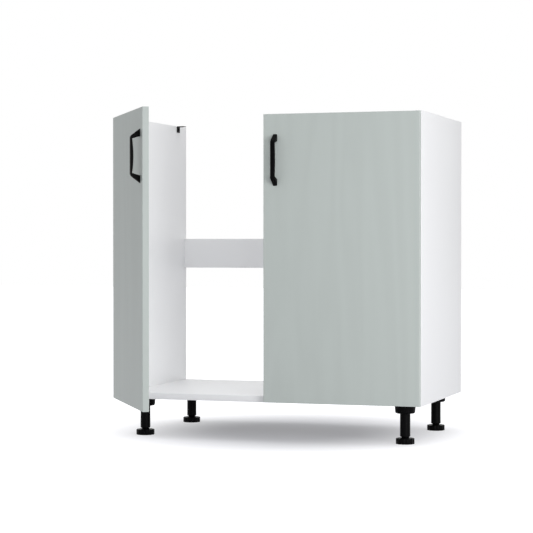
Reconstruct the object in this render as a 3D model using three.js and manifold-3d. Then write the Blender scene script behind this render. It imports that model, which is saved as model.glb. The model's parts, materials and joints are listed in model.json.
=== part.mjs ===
// Sink base cabinet: an open board carcass on four levelling legs, with two doors on
// concealed cup hinges. Millimetres, +Z up, the doors face -Y.
// The left door stands open; each of its hinge links is turned with it.

import * as THREE from "three";
import { mergeVertices } from "three/addons/utils/BufferGeometryUtils.js";
import Module from "manifold-3d";

const wasm = await Module();
wasm.setup();

// ---------------------------------------------------------------- driving dimensions

const CARCASS_WIDTH = 800;
const CARCASS_HEIGHT = 720;
const CARCASS_DEPTH = 460;
const BOARD = 16; // thickness of the white boards
const LEG_HEIGHT = 97.5; // floor to the carcass's underside

const RAIL_HEIGHT = 80;
const RAIL_RISE = 329; // carcass's underside to the rail's lower edge

const DOOR_THICKNESS = 16;
const DOOR_GAP = 2; // doors' backs to the carcass's front edges
const SIDE_REVEAL = 1;
const CENTRE_GAP = 4;
const TOP_REVEAL = 2.5;
const BOTTOM_REVEAL = 1.5;
const DOOR_EASE = 1; // rounding of the doors' edges
const LEFT_DOOR_OPEN = 57; // degrees, as the cabinet is shown

const CLEARANCE = 0.3; // round parts in their holes, and seats that are not flat
const OVERCUT = 1; // how far a cutting body reaches past the faces that it cuts

const DOWEL_RADIUS = 4;
const DOWEL_LENGTH = 30;
const DOWEL_IN_SIDE = 11;
const DOWEL_CHAMFER = 1;
const BOTTOM_DOWEL_INSET = 40;
const RAIL_DOWEL_INSET = 20;

const BRACKET_LEG = 20; // upper flange of a worktop bracket, and its width
const BRACKET_DROP = 17.3; // flange on the side panel
const BRACKET_SHEET = 1.6;
const BRACKET_BEND = 1; // inner radius of the bend
const BRACKET_HOLE = 2.3;
const BRACKET_INSET = 53; // cabinet's front or back edge to the bracket

const LEG_SIDE_INSET = 55; // leg's axis to the carcass's outer face
const LEG_FRONT_INSET = 60;
const LEG_BACK_INSET = 60;
const SOCKET_HEIGHT = 22;
const SOCKET_TOP_RADIUS = 26.4;
const SOCKET_LOW_RADIUS = 24.9;
const SOCKET_ROUNDING = 4.5;
const SOCKET_ROOF = 3;
const SOCKET_WALL = 2.5; // round the tube, and of the skirt round that
const TUBE_RADIUS = 12.75;
const TUBE_WALL = 2.5;
const FOOT_HEIGHT = 14;
const FOOT_RADIUS = 23.4;
const FOOT_LOBES = 12;
const FOOT_LOBE_DEPTH = 1.3;
const FOOT_EASE = 1.5;
const FOOT_NECK = 4; // threaded stem that shows between the foot and the tube
const STEM_HEADROOM = 16; // left above the stem in the tube, for turning the foot in

const HANDLE_LENGTH = 128;
const HANDLE_SLOPE = 17.5; // handle's end to the start of its straight outer face
const HANDLE_PROJECTION = 23.2;
const HANDLE_WIDTH = 11.5;
const HANDLE_FOOT = 18;
const HANDLE_INNER_SLOPE = 5.5; // foot's inner end to the window under the bar
const HANDLE_BAR_END = 4.6;
const HANDLE_BAR_MIDDLE = 7.6;
const HANDLE_CORNER = 5;
const HANDLE_EASE = 1.2;
const HANDLE_FROM_EDGE = 30.6; // handle's middle to the door's free edge
const HANDLE_FROM_TOP = 50.3;
const HANDLE_SCREW_RADIUS = 2;
const HANDLE_SCREW_BITE = 7;
const SCREW_HEAD_RADIUS = 4;
const SCREW_HEAD_HEIGHT = 2.4;
const SCREW_HEAD_RIM = 1.4; // height of the head's upright side
const SCREW_HEAD_FLAT = 2.4; // radius of its flat end

// Hinges: every pivot is a vertical line, given in plan with the door closed.
const HINGE_FROM_END = 100; // hinge's middle to the door's top or bottom end
const CUP_RADIUS = 17.2;
const CUP_FROM_EDGE = 21; // cup's axis to the door's hinge edge
const CUP_DEPTH = 11.5; // into the door
const CUP_WALL = 1;
const FLANGE_RADIUS = 18.5;
const FLANGE_SHEET = 0.6;
const FLANGE_GAP = 0.2;
const TAB_REACH = 9.5; // screw tabs' line to the cup's axis, away from the hinge edge
const TAB_SPREAD = 22.5;
const TAB_RADIUS = 6.5;
const MAIN_ARM_PIVOT = [34, 4]; // in from the side panel's inner face, behind its front edge
const LOOSE_ARM_PIVOT = [44, 3.4];
const MAIN_CUP_PIVOT = [9, 1.8]; // in from the door's hinge edge, below the door's back
const LOOSE_CUP_PIVOT = [10.5, 3.9];
const LOOSE_CUP_SLOT = [10.06, 2.69]; // middle of the wide hole that the loose link's pin has
const LOOSE_PLAY = 1.35; // how far that pin wanders in its hole
const MAIN_LINK_RATIO = -0.21; // link's turn for each degree that the door opens
const LOOSE_LINK_RATIO = -0.147;
const PIN_RADIUS = 1.2;
const LOOSE_PIN_RADIUS = 1;
const PIN_CLEARANCE = 0.25;
const EYE_RADIUS = 2.4;
const LINK_HALF_SHEET = 1.2;
const LUG_WALL = 1;
// Layers of a hinge, counted up and down from its middle plane.
const MAIN_LINK_TOP = 2.5;
const INNER_LUG = [2.8, 4];
const LOOSE_LINK = [4.3, 5.8];
const OUTER_LUG = [6.1, 7.3];
const LOOSE_PIN_TOP = 7.2;
const LOOSE_LINK_KNEE = [33, -2.6]; // bends of the loose link, in from the door's edge
const LOOSE_LINK_CRANK = [52.5, -2.8];
const ARM_SHEET = 1.2;
const ARM_HALF_SECTION = 4.6;
const ARM_TAIL_RISE = 12; // arm's tail above the side panel
const ARM_BEND_START = [28, 10];
const ARM_BEND_END = [18, 30];
const ARM_TAIL_START = 40;
const ARM_TAIL_END = 72;
const ARM_SCREW_HOLE = [48, 2.4]; // behind the panel's front edge, and its radius
const ARM_SLOT = [57, 63, 2.2]; // from and to behind the front edge, and its half width
const PLATE_SHEET = 3;
const PLATE_START = 24;
const PLATE_END = 75;
const PLATE_HALF_WIDTH = 7.5;
const PLATE_SCREW_LINE = 37; // behind the panel's front edge
const PLATE_WING = 16; // screw centres above and below the middle
const PLATE_WING_RADIUS = 7.5;
const RIDGE_START = 44;
const RIDGE_END = 64;

// ---------------------------------------------------------------- derived sizes

const HALF_WIDTH = CARCASS_WIDTH / 2;
const INNER_HALF = HALF_WIDTH - BOARD;
const CARCASS_TOP = LEG_HEIGHT + CARCASS_HEIGHT;
const DOOR_WIDTH = HALF_WIDTH - SIDE_REVEAL - CENTRE_GAP / 2;
const DOOR_HEIGHT = CARCASS_HEIGHT - TOP_REVEAL - BOTTOM_REVEAL;
const DOOR_BOTTOM = LEG_HEIGHT + BOTTOM_REVEAL;
const DOOR_TOP = DOOR_BOTTOM + DOOR_HEIGHT;
const DOOR_BACK = -DOOR_GAP;
const DOOR_EDGE = HALF_WIDTH - SIDE_REVEAL; // distance of the hinge edge from the middle
const HINGE_HEIGHTS = { lower: DOOR_BOTTOM + HINGE_FROM_END, upper: DOOR_TOP - HINGE_FROM_END };
const SIDES = { left: -1, right: 1 };

// ---------------------------------------------------------------- materials

const finish = (color, roughness, metalness = 0) => () =>
  new THREE.MeshStandardMaterial({ color, roughness, metalness });
const whiteBoard = finish(0xeeeef0, 0.45);
const doorFront = finish(0xb9c1bd, 0.4);
const blackPlastic = finish(0x17181a, 0.5);
const blackMetal = finish(0x141516, 0.4, 0.6);
const hingeSteel = finish(0xb8babd, 0.3, 0.9);
const screwSteel = finish(0xa9abae, 0.35, 0.9);
const beech = finish(0xc9a577, 0.7);

// ---------------------------------------------------------------- solids

function solidOf(geometry) {
  const bare = geometry.index ? geometry.toNonIndexed() : geometry.clone();
  bare.deleteAttribute("normal");
  bare.deleteAttribute("uv");
  const merged = mergeVertices(bare, 1e-4);
  const vertProperties = merged.attributes.position.array;
  const triVerts = new Uint32Array(merged.index.array);
  return new wasm.Manifold(new wasm.Mesh({ numProp: 3, vertProperties, triVerts }));
}

function geometryOf(solid) {
  const { vertProperties, triVerts } = solid.getMesh();
  const geometry = new THREE.BufferGeometry();
  geometry.setAttribute("position", new THREE.BufferAttribute(vertProperties, 3));
  geometry.setIndex(new THREE.BufferAttribute(triVerts, 1));
  geometry.computeVertexNormals();
  return geometry;
}

const join = (geometries) => geometryOf(geometries.map(solidOf).reduce((a, b) => a.add(b)));

const cut = (geometry, cutters) =>
  geometryOf(cutters.map(solidOf).reduce((a, b) => a.subtract(b), solidOf(geometry)));

// A cylinder from one point to another.
function rod(from, to, radius, segments = 16) {
  const start = new THREE.Vector3(...from);
  const run = new THREE.Vector3(...to).sub(start);
  const turn = new THREE.Quaternion().setFromUnitVectors(
    new THREE.Vector3(0, 1, 0),
    run.clone().normalize(),
  );
  return new THREE.CylinderGeometry(radius, radius, run.length(), segments)
    .applyQuaternion(turn)
    .translate(...start.addScaledVector(run, 0.5).toArray());
}

function box(low, high) {
  const size = high.map((value, i) => value - low[i]);
  const middle = high.map((value, i) => (value + low[i]) / 2);
  return new THREE.BoxGeometry(...size).translate(...middle);
}

// A plan outline raised from one height to another.
function raise(shape, bottom, top, curveSegments = 2) {
  const options = { depth: top - bottom, bevelEnabled: false, curveSegments };
  return new THREE.ExtrudeGeometry(shape, options).translate(0, 0, bottom);
}

// A shape whose outline runs straight from point to point.
const outline = (points) => new THREE.Shape(points.map(([x, y]) => new THREE.Vector2(x, y)));

// A strip of even width along a chain of points, with mitred bends and round ends.
function strip(points, radius, endSteps = 4) {
  const chain = points.map(([x, y]) => new THREE.Vector2(x, y));
  const headings = chain.slice(1).map((point, i) => point.clone().sub(chain[i]).angle());
  const offset = (point, angle, distance) => [
    point.x + distance * Math.cos(angle),
    point.y + distance * Math.sin(angle),
  ];
  const roundEnd = (point, heading) =>
    Array.from({ length: endSteps + 1 }, (_, step) =>
      offset(point, heading - Math.PI / 2 + (step / endSteps) * Math.PI, radius),
    );
  const bends = (hand) =>
    chain.slice(1, -1).map((point, i) => {
      const normals = [headings[i], headings[i + 1]].map((heading) =>
        new THREE.Vector2(Math.cos(heading), Math.sin(heading)).rotateAround(
          new THREE.Vector2(),
          (hand * Math.PI) / 2,
        ),
      );
      const middle = normals[0].clone().add(normals[1]).normalize();
      return offset(point, middle.angle(), radius / middle.dot(normals[0]));
    });
  return outline([
    ...bends(-1),
    ...roundEnd(chain.at(-1), headings.at(-1)),
    ...bends(1).reverse(),
    ...roundEnd(chain[0], headings[0] + Math.PI),
  ]);
}

const bar = (points, radius, bottom, top) => raise(strip(points, radius), bottom, top);

const upright = ([x, y], radius, bottom, top, segments = 10) =>
  rod([x, y, bottom], [x, y, top], radius, segments);

// A profile of [radius, height] points turned about the vertical.
const turned = (profile, segments) =>
  new THREE.LatheGeometry(
    profile.map(([r, z]) => new THREE.Vector2(r, z)),
    segments,
  ).rotateX(Math.PI / 2);

function piece(name, geometry, material, position = [0, 0, 0]) {
  const mesh = new THREE.Mesh(geometry, material());
  mesh.name = name;
  mesh.position.set(...position);
  return mesh;
}

// ---------------------------------------------------------------- carcass boards

// Depths and heights of the dowels' axes, which run from side to side.
const dowelPlaces = {
  bottom_dowel_front: [BOTTOM_DOWEL_INSET, LEG_HEIGHT + BOARD / 2],
  bottom_dowel_back: [CARCASS_DEPTH - BOTTOM_DOWEL_INSET, LEG_HEIGHT + BOARD / 2],
  rail_dowel_lower: [CARCASS_DEPTH - BOARD / 2, LEG_HEIGHT + RAIL_RISE + RAIL_DOWEL_INSET],
  rail_dowel_upper: [
    CARCASS_DEPTH - BOARD / 2,
    LEG_HEIGHT + RAIL_RISE + RAIL_HEIGHT - RAIL_DOWEL_INSET,
  ],
};

// The hole for a dowel, through the joint between a side panel and a board's end.
function dowelHole(side, [y, z]) {
  const outer = side * (INNER_HALF + DOWEL_IN_SIDE);
  const inner = side * (INNER_HALF - (DOWEL_LENGTH - DOWEL_IN_SIDE) - CLEARANCE);
  return rod([outer, y, z], [inner, y, z], DOWEL_RADIUS + CLEARANCE, 12);
}

function dowel(side, place, name) {
  const half = DOWEL_LENGTH / 2;
  const profile = [
    [0, -half],
    [DOWEL_RADIUS - DOWEL_CHAMFER, -half],
    [DOWEL_RADIUS, DOWEL_CHAMFER - half],
    [DOWEL_RADIUS, half - DOWEL_CHAMFER],
    [DOWEL_RADIUS - DOWEL_CHAMFER, half],
    [0, half],
  ];
  const peg = turned(profile, 12).rotateY(Math.PI / 2);
  const x = side * (INNER_HALF + DOWEL_IN_SIDE - CLEARANCE - half);
  return piece(name, peg, beech, [x, ...place]);
}

// A board between two corners, drilled where dowels meet it.
function board(name, low, high, holes) {
  const middle = high.map((value, i) => (value + low[i]) / 2);
  const drilled = cut(box(low, high), holes).translate(...middle.map((value) => -value));
  return piece(name, drilled, whiteBoard, middle);
}

function sidePanel(sideName) {
  const side = SIDES[sideName];
  const faces = [side * INNER_HALF, side * HALF_WIDTH].sort((a, b) => a - b);
  const low = [faces[0], 0, LEG_HEIGHT];
  const high = [faces[1], CARCASS_DEPTH, CARCASS_TOP];
  const holes = Object.values(dowelPlaces).map((place) => dowelHole(side, place));
  return board(`${sideName}_side_panel`, low, high, holes);
}

function crossBoard(name, low, high, dowelNames) {
  const holes = Object.values(SIDES).flatMap((side) =>
    dowelNames.map((dowelName) => dowelHole(side, dowelPlaces[dowelName])),
  );
  return board(name, low, high, holes);
}

const bottomPanel = () =>
  crossBoard(
    "bottom_panel",
    [-INNER_HALF, 0, LEG_HEIGHT],
    [INNER_HALF, CARCASS_DEPTH, LEG_HEIGHT + BOARD],
    ["bottom_dowel_front", "bottom_dowel_back"],
  );

const backRail = () =>
  crossBoard(
    "back_rail",
    [-INNER_HALF, CARCASS_DEPTH - BOARD, LEG_HEIGHT + RAIL_RISE],
    [INNER_HALF, CARCASS_DEPTH, LEG_HEIGHT + RAIL_RISE + RAIL_HEIGHT],
    ["rail_dowel_lower", "rail_dowel_upper"],
  );

// ---------------------------------------------------------------- worktop brackets

// An angle of bent sheet: one flange on the side panel, one under the worktop.
function worktopBracket(name, side, middleDepth) {
  const half = BRACKET_LEG / 2;
  const outerBend = BRACKET_BEND + BRACKET_SHEET;
  const section = new THREE.Shape();
  section.moveTo(0, -BRACKET_DROP);
  section.lineTo(BRACKET_SHEET, -BRACKET_DROP);
  section.absarc(outerBend, -outerBend, BRACKET_BEND, Math.PI, Math.PI / 2, true);
  section.lineTo(BRACKET_LEG, -BRACKET_SHEET);
  section.lineTo(BRACKET_LEG, 0);
  section.absarc(outerBend, -outerBend, outerBend, Math.PI / 2, Math.PI);
  section.closePath();
  const inward = new THREE.Vector3(-side, 0, 0);
  const frame = new THREE.Matrix4().makeBasis(
    inward,
    new THREE.Vector3(0, 0, 1),
    new THREE.Vector3(0, side, 0),
  );
  const angle = raise(section, -half, half).applyMatrix4(frame);
  const low = -BRACKET_DROP / 2;
  const holes = [
    rod([-side * half, 0, low], [-side * half, 0, OVERCUT], BRACKET_HOLE, 12),
    rod([side * OVERCUT, 0, low], [-side * half, 0, low], BRACKET_HOLE, 12),
  ];
  const seat = [side * INNER_HALF, middleDepth, CARCASS_TOP];
  return piece(name, cut(angle, holes), blackMetal, seat);
}

// ---------------------------------------------------------------- levelling legs

// A moulded cap, hollow below: a sleeve round the tube, and a skirt with a rounded lip.
function legSocket(name, position) {
  const bore = TUBE_RADIUS + CLEARANCE;
  const rim = SOCKET_LOW_RADIUS - SOCKET_ROUNDING;
  const arc = [1, 2].map((step) => {
    const angle = (step / 3) * (Math.PI / 2);
    const radius = rim + SOCKET_ROUNDING * Math.sin(angle);
    return [radius, -SOCKET_HEIGHT + SOCKET_ROUNDING * (1 - Math.cos(angle))];
  });
  const profile = [
    [0, -SOCKET_ROOF],
    [bore, -SOCKET_ROOF],
    [bore, -SOCKET_HEIGHT],
    [bore + SOCKET_WALL, -SOCKET_HEIGHT],
    [bore + SOCKET_WALL, -SOCKET_ROOF],
    [SOCKET_TOP_RADIUS - SOCKET_WALL, -SOCKET_ROOF],
    [rim, -SOCKET_HEIGHT],
    ...arc,
    [SOCKET_LOW_RADIUS, -SOCKET_HEIGHT + SOCKET_ROUNDING],
    [SOCKET_TOP_RADIUS, 0],
    [0, 0],
  ];
  return piece(name, turned(profile, 20), blackPlastic, position);
}

function legTube(name, position) {
  const top = -SOCKET_ROOF - CLEARANCE;
  const bottom = FOOT_HEIGHT + FOOT_NECK - LEG_HEIGHT;
  const bore = TUBE_RADIUS - TUBE_WALL;
  const profile = [
    [bore, bottom],
    [TUBE_RADIUS, bottom],
    [TUBE_RADIUS, top],
    [bore, top],
    [bore, bottom],
  ];
  return piece(name, turned(profile, 20), blackPlastic, position);
}

// A scalloped disc with the stem that screws into the tube.
function legFoot(name, position) {
  const rim = new THREE.Shape();
  const steps = FOOT_LOBES * 3;
  for (let i = 0; i < steps; i += 1) {
    const angle = (i / steps) * Math.PI * 2;
    const dip = (1 - Math.cos(angle * FOOT_LOBES)) / 2;
    const radius = FOOT_RADIUS - FOOT_LOBE_DEPTH * dip * dip;
    const point = [radius * Math.cos(angle), radius * Math.sin(angle)];
    if (i === 0) rim.moveTo(...point);
    else rim.lineTo(...point);
  }
  rim.closePath();
  const disc = new THREE.ExtrudeGeometry(rim, {
    depth: FOOT_HEIGHT - 2 * FOOT_EASE,
    bevelThickness: FOOT_EASE,
    bevelSize: FOOT_EASE,
    bevelOffset: -FOOT_EASE,
    bevelSegments: 1,
  }).translate(0, 0, FOOT_EASE);
  const stemRadius = TUBE_RADIUS - TUBE_WALL - CLEARANCE;
  const stemTop = LEG_HEIGHT - SOCKET_ROOF - STEM_HEADROOM;
  const stem = rod([0, 0, FOOT_HEIGHT / 2], [0, 0, stemTop], stemRadius, 20);
  return piece(name, join([disc, stem]), blackPlastic, position);
}

function leg(name, x, y) {
  const assembly = new THREE.Group();
  assembly.position.set(x, y, 0);
  assembly.add(
    legSocket(`${name}_leg_socket`, [0, 0, LEG_HEIGHT]),
    legTube(`${name}_leg_tube`, [0, 0, LEG_HEIGHT]),
    legFoot(`${name}_leg_foot`, [0, 0, 0]),
  );
  return assembly;
}

// ---------------------------------------------------------------- doors and handles

// Places in plan of a door's features, for the door on one side.
const inFromEdge = (side, distance) => side * (DOOR_EDGE - distance);
const handleLine = (side) => inFromEdge(side, DOOR_WIDTH - HANDLE_FROM_EDGE);
const HANDLE_MIDDLE = DOOR_TOP - HANDLE_FROM_TOP - HANDLE_LENGTH / 2;
const HANDLE_SCREW_RISE = (HANDLE_LENGTH - HANDLE_FOOT) / 2;
const HANDLE_SCREW_HEIGHTS = {
  lower: HANDLE_MIDDLE - HANDLE_SCREW_RISE,
  upper: HANDLE_MIDDLE + HANDLE_SCREW_RISE,
};
const DOOR_FRONT = DOOR_BACK - DOOR_THICKNESS;

// Local x and y to the front view, with the depth running towards the viewer.
const facingFront = new THREE.Matrix4().makeBasis(
  new THREE.Vector3(1, 0, 0),
  new THREE.Vector3(0, 0, 1),
  new THREE.Vector3(0, -1, 0),
);

function doorPanel(name, side) {
  const x = [side * DOOR_EDGE, inFromEdge(side, DOOR_WIDTH)].sort((a, b) => a - b);
  const face = outline([
    [x[0], DOOR_BOTTOM],
    [x[1], DOOR_BOTTOM],
    [x[1], DOOR_TOP],
    [x[0], DOOR_TOP],
  ]);
  const slab = new THREE.ExtrudeGeometry(face, {
    depth: DOOR_THICKNESS - 2 * DOOR_EASE,
    bevelThickness: DOOR_EASE,
    bevelSize: DOOR_EASE,
    bevelOffset: -DOOR_EASE,
    bevelSegments: 2,
  })
    .translate(0, 0, DOOR_GAP + DOOR_EASE)
    .applyMatrix4(facingFront);
  const cupLine = inFromEdge(side, CUP_FROM_EDGE);
  const cupFloor = DOOR_BACK - CUP_DEPTH - CLEARANCE;
  const bores = Object.values(HINGE_HEIGHTS).map((z) =>
    rod([cupLine, 0, z], [cupLine, cupFloor, z], CUP_RADIUS + CLEARANCE, 24),
  );
  const screwHoles = Object.values(HANDLE_SCREW_HEIGHTS).map((z) =>
    rod(
      [handleLine(side), OVERCUT, z],
      [handleLine(side), DOOR_FRONT - OVERCUT, z],
      HANDLE_SCREW_RADIUS + CLEARANCE,
      12,
    ),
  );
  return piece(name, cut(slab, [...bores, ...screwHoles]), doorFront);
}

// A bridge handle: sloping feet, a straight outer face, and a bar that swells inwards.
function doorHandle(name, side) {
  const end = HANDLE_LENGTH / 2;
  const grip = end - HANDLE_SLOPE;
  const reach = HANDLE_PROJECTION;
  const window = end - HANDLE_FOOT - HANDLE_INNER_SLOPE;
  const slope = new THREE.Vector2(end - grip, -reach).normalize();
  const profile = new THREE.Shape();
  profile.moveTo(-end, 0);
  profile.lineTo(-grip - slope.x * HANDLE_CORNER, reach + slope.y * HANDLE_CORNER);
  profile.quadraticCurveTo(-grip, reach, -grip + HANDLE_CORNER, reach);
  profile.lineTo(grip - HANDLE_CORNER, reach);
  profile.quadraticCurveTo(
    grip,
    reach,
    grip + slope.x * HANDLE_CORNER,
    reach + slope.y * HANDLE_CORNER,
  );
  profile.lineTo(end, 0);
  profile.lineTo(end - HANDLE_FOOT, 0);
  profile.lineTo(window, reach - HANDLE_BAR_END);
  const swell = 2 * (HANDLE_BAR_MIDDLE - HANDLE_BAR_END);
  profile.quadraticCurveTo(0, reach - HANDLE_BAR_END - swell, -window, reach - HANDLE_BAR_END);
  profile.lineTo(HANDLE_FOOT - end, 0);
  profile.closePath();
  const body = new THREE.ExtrudeGeometry(profile, {
    depth: HANDLE_WIDTH - 2 * HANDLE_EASE,
    bevelThickness: HANDLE_EASE,
    bevelSize: HANDLE_EASE,
    bevelOffset: -HANDLE_EASE,
    bevelSegments: 1,
    curveSegments: 8,
  })
    .translate(0, 0, -HANDLE_WIDTH / 2 + HANDLE_EASE)
    .applyMatrix4(
      new THREE.Matrix4().makeBasis(
        new THREE.Vector3(0, 0, 1),
        new THREE.Vector3(0, -1, 0),
        new THREE.Vector3(1, 0, 0),
      ),
    );
  const holes = [-HANDLE_SCREW_RISE, HANDLE_SCREW_RISE].map((z) =>
    rod([0, OVERCUT, z], [0, -HANDLE_SCREW_BITE, z], HANDLE_SCREW_RADIUS + CLEARANCE, 12),
  );
  const seat = [handleLine(side), DOOR_FRONT - CLEARANCE, HANDLE_MIDDLE];
  return piece(name, cut(body, holes), blackMetal, seat);
}

// A pan head on the door's back and a shank that ends inside the handle's foot.
function handleScrew(name, side, z) {
  const shankEnd = DOOR_THICKNESS + HANDLE_SCREW_BITE - 2 * CLEARANCE;
  const profile = [
    [0, -shankEnd],
    [HANDLE_SCREW_RADIUS, -shankEnd],
    [HANDLE_SCREW_RADIUS, CLEARANCE],
    [SCREW_HEAD_RADIUS, CLEARANCE],
    [SCREW_HEAD_RADIUS, SCREW_HEAD_RIM],
    [SCREW_HEAD_FLAT, SCREW_HEAD_HEIGHT],
    [0, SCREW_HEAD_HEIGHT],
  ];
  const screw = turned(profile, 12).rotateX(-Math.PI / 2);
  return piece(name, screw, screwSteel, [handleLine(side), DOOR_BACK, z]);
}

// ---------------------------------------------------------------- cup hinges

// Plan points of one side's hinges, door closed.
function hingePlan(side) {
  const fromPanel = ([inward, behind]) => [side * (INNER_HALF - inward), behind];
  const fromDoor = ([inward, below]) => [inFromEdge(side, inward), DOOR_BACK - below];
  return {
    mainArm: fromPanel(MAIN_ARM_PIVOT),
    looseArm: fromPanel(LOOSE_ARM_PIVOT),
    mainCup: fromDoor(MAIN_CUP_PIVOT),
    looseCup: fromDoor(LOOSE_CUP_PIVOT),
    looseSlot: fromDoor(LOOSE_CUP_SLOT),
    cupLine: inFromEdge(side, CUP_FROM_EDGE),
    fromPanel,
    fromDoor,
  };
}

// A layer and its mirror image below the hinge's middle plane.
const bothLayers = ([low, high], make) => [make(low, high), make(-high, -low)].flat();

// The cup that is let into the door, with its flange and the lugs that hold the pins.
function hingeCup(name, side, z) {
  const plan = hingePlan(side);
  const floor = DOOR_BACK - CUP_DEPTH;
  const inside = CUP_RADIUS - CUP_WALL;
  const flangeLow = DOOR_BACK + FLANGE_GAP;
  const flangeTop = flangeLow + FLANGE_SHEET;
  const bowl = new THREE.LatheGeometry(
    [
      [0, floor],
      [CUP_RADIUS, floor],
      [CUP_RADIUS, flangeLow],
      [FLANGE_RADIUS, flangeLow],
      [FLANGE_RADIUS, flangeTop],
      [inside, flangeTop],
      [inside, floor + CUP_WALL],
      [0, floor + CUP_WALL],
    ].map(([r, y]) => new THREE.Vector2(r, y)),
    20,
  ).translate(plan.cupLine, 0, 0);
  const tabLine = plan.cupLine - side * TAB_REACH;
  const tabs = raise(
    strip([[tabLine, -TAB_SPREAD], [tabLine, TAB_SPREAD]], TAB_RADIUS, 6),
    -flangeTop,
    -flangeLow,
  ).applyMatrix4(facingFront);
  const mouth = rod([plan.cupLine, floor + CUP_WALL, 0], [plan.cupLine, OVERCUT, 0], inside, 20);
  const lug = (centre, radius, low, high) => [
    upright(centre, radius, low, high),
    box(
      [centre[0] - radius, floor + CUP_WALL / 2, low],
      [centre[0] + radius, centre[1], high],
    ),
  ];
  const slotRadius = LOOSE_PIN_RADIUS + LOOSE_PLAY + PIN_CLEARANCE;
  const innerLugs = bothLayers(INNER_LUG, (low, high) => lug(plan.mainCup, EYE_RADIUS, low, high));
  const outerLugs = bothLayers(OUTER_LUG, (low, high) =>
    lug(plan.looseSlot, slotRadius + LUG_WALL, low, high),
  );
  const pin = upright(plan.mainCup, PIN_RADIUS, -INNER_LUG[1], INNER_LUG[1]);
  const slots = bothLayers(OUTER_LUG, (low, high) =>
    upright(plan.looseSlot, slotRadius, low - OVERCUT, high + OVERCUT),
  );
  const shell = cut(join([bowl, tabs]), [mouth]);
  const bore = rod([plan.cupLine, floor, 0], [plan.cupLine, OVERCUT, 0], CUP_RADIUS, 20);
  const lugs = solidOf(join([...innerLugs, ...outerLugs, pin])).intersect(solidOf(bore));
  const body = cut(join([shell, geometryOf(lugs)]), slots);
  return piece(name, body, hingeSteel, [0, 0, z]);
}

// The straight link that carries the door: one eye on the arm, one in the cup.
function mainLink(name, side, z) {
  const { mainArm, mainCup } = hingePlan(side);
  const top = MAIN_LINK_TOP;
  const body = join([
    bar([mainArm, mainCup], LINK_HALF_SHEET, -top, top),
    upright(mainArm, EYE_RADIUS, -top, top),
    upright(mainCup, EYE_RADIUS, -top, top),
  ]);
  const eyes = [mainArm, mainCup].map((pivot) =>
    upright(pivot, PIN_RADIUS + PIN_CLEARANCE, -top - OVERCUT, top + OVERCUT),
  );
  return piece(name, cut(body, eyes), hingeSteel, [0, 0, z]);
}

// The forked link outside it: its cheeks are joined by a spacer next to the arm's pin.
function looseLink(name, side, z) {
  const { looseArm, looseCup, fromDoor } = hingePlan(side);
  const route = [looseCup, fromDoor(LOOSE_LINK_KNEE), fromDoor(LOOSE_LINK_CRANK), looseArm];
  const cheeks = bothLayers(LOOSE_LINK, (low, high) => [
    bar(route, LINK_HALF_SHEET, low, high),
    upright(looseArm, EYE_RADIUS, low, high),
  ]);
  const pins = bothLayers([LOOSE_LINK[0], LOOSE_PIN_TOP], (low, high) =>
    upright(looseCup, LOOSE_PIN_RADIUS, low, high),
  );
  const spacerAt = looseArm.map((value, i) => (value + route[2][i]) / 2);
  const spacer = upright(spacerAt, LINK_HALF_SHEET, -LOOSE_LINK[1], LOOSE_LINK[1]);
  const reach = LOOSE_LINK[1] + OVERCUT;
  const eyes = upright(looseArm, PIN_RADIUS + PIN_CLEARANCE, -reach, reach);
  return piece(name, cut(join([...cheeks, ...pins, spacer]), [eyes]), hingeSteel, [0, 0, z]);
}

// A shape drawn along and behind the panel's front edge, standing off its inner face.
function onPanel(shape, side, low, high) {
  const frame = new THREE.Matrix4().makeBasis(
    new THREE.Vector3(0, 0, side),
    new THREE.Vector3(0, 1, 0),
    new THREE.Vector3(-side, 0, 0),
  );
  return raise(shape, low, high).applyMatrix4(frame).translate(side * INNER_HALF, 0, 0);
}

// The arm: a channel of bent sheet over the mounting plate, with both arm pins, and a
// round hole and a slot in its tail for the two adjusting screws.
function hingeArm(name, side, z) {
  const { mainArm, looseArm, fromPanel } = hingePlan(side);
  const route = [
    looseArm,
    mainArm,
    fromPanel(ARM_BEND_START),
    fromPanel(ARM_BEND_END),
    fromPanel([ARM_TAIL_RISE, ARM_TAIL_START]),
    fromPanel([ARM_TAIL_RISE, ARM_TAIL_END - ARM_HALF_SECTION]),
  ];
  const top = OUTER_LUG[1];
  const inside = OUTER_LUG[0];
  const stock = bar(route, ARM_HALF_SECTION, -top, top);
  const shifted = route.map(([x, y]) => [x + side * ARM_SHEET, y - ARM_SHEET]);
  const hollow = bar(shifted, ARM_HALF_SECTION, -inside, inside);
  const pins = [mainArm, looseArm].map((pivot) => upright(pivot, PIN_RADIUS, -top, top));
  const [holeAt, holeRadius] = ARM_SCREW_HOLE;
  const [slotStart, slotEnd, slotRadius] = ARM_SLOT;
  const beyond = ARM_TAIL_RISE + 2 * ARM_HALF_SECTION;
  const hole = rod(
    [...fromPanel([ARM_TAIL_RISE, holeAt]), 0],
    [...fromPanel([beyond, holeAt]), 0],
    holeRadius,
    10,
  );
  const slotPlan = strip([[0, slotStart], [0, slotEnd]], slotRadius);
  const slot = onPanel(slotPlan, side, ARM_TAIL_RISE, beyond);
  const channel = cut(stock, [hollow, hole, slot]);
  return piece(name, join([channel, ...pins]), hingeSteel, [0, 0, z]);
}

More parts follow.
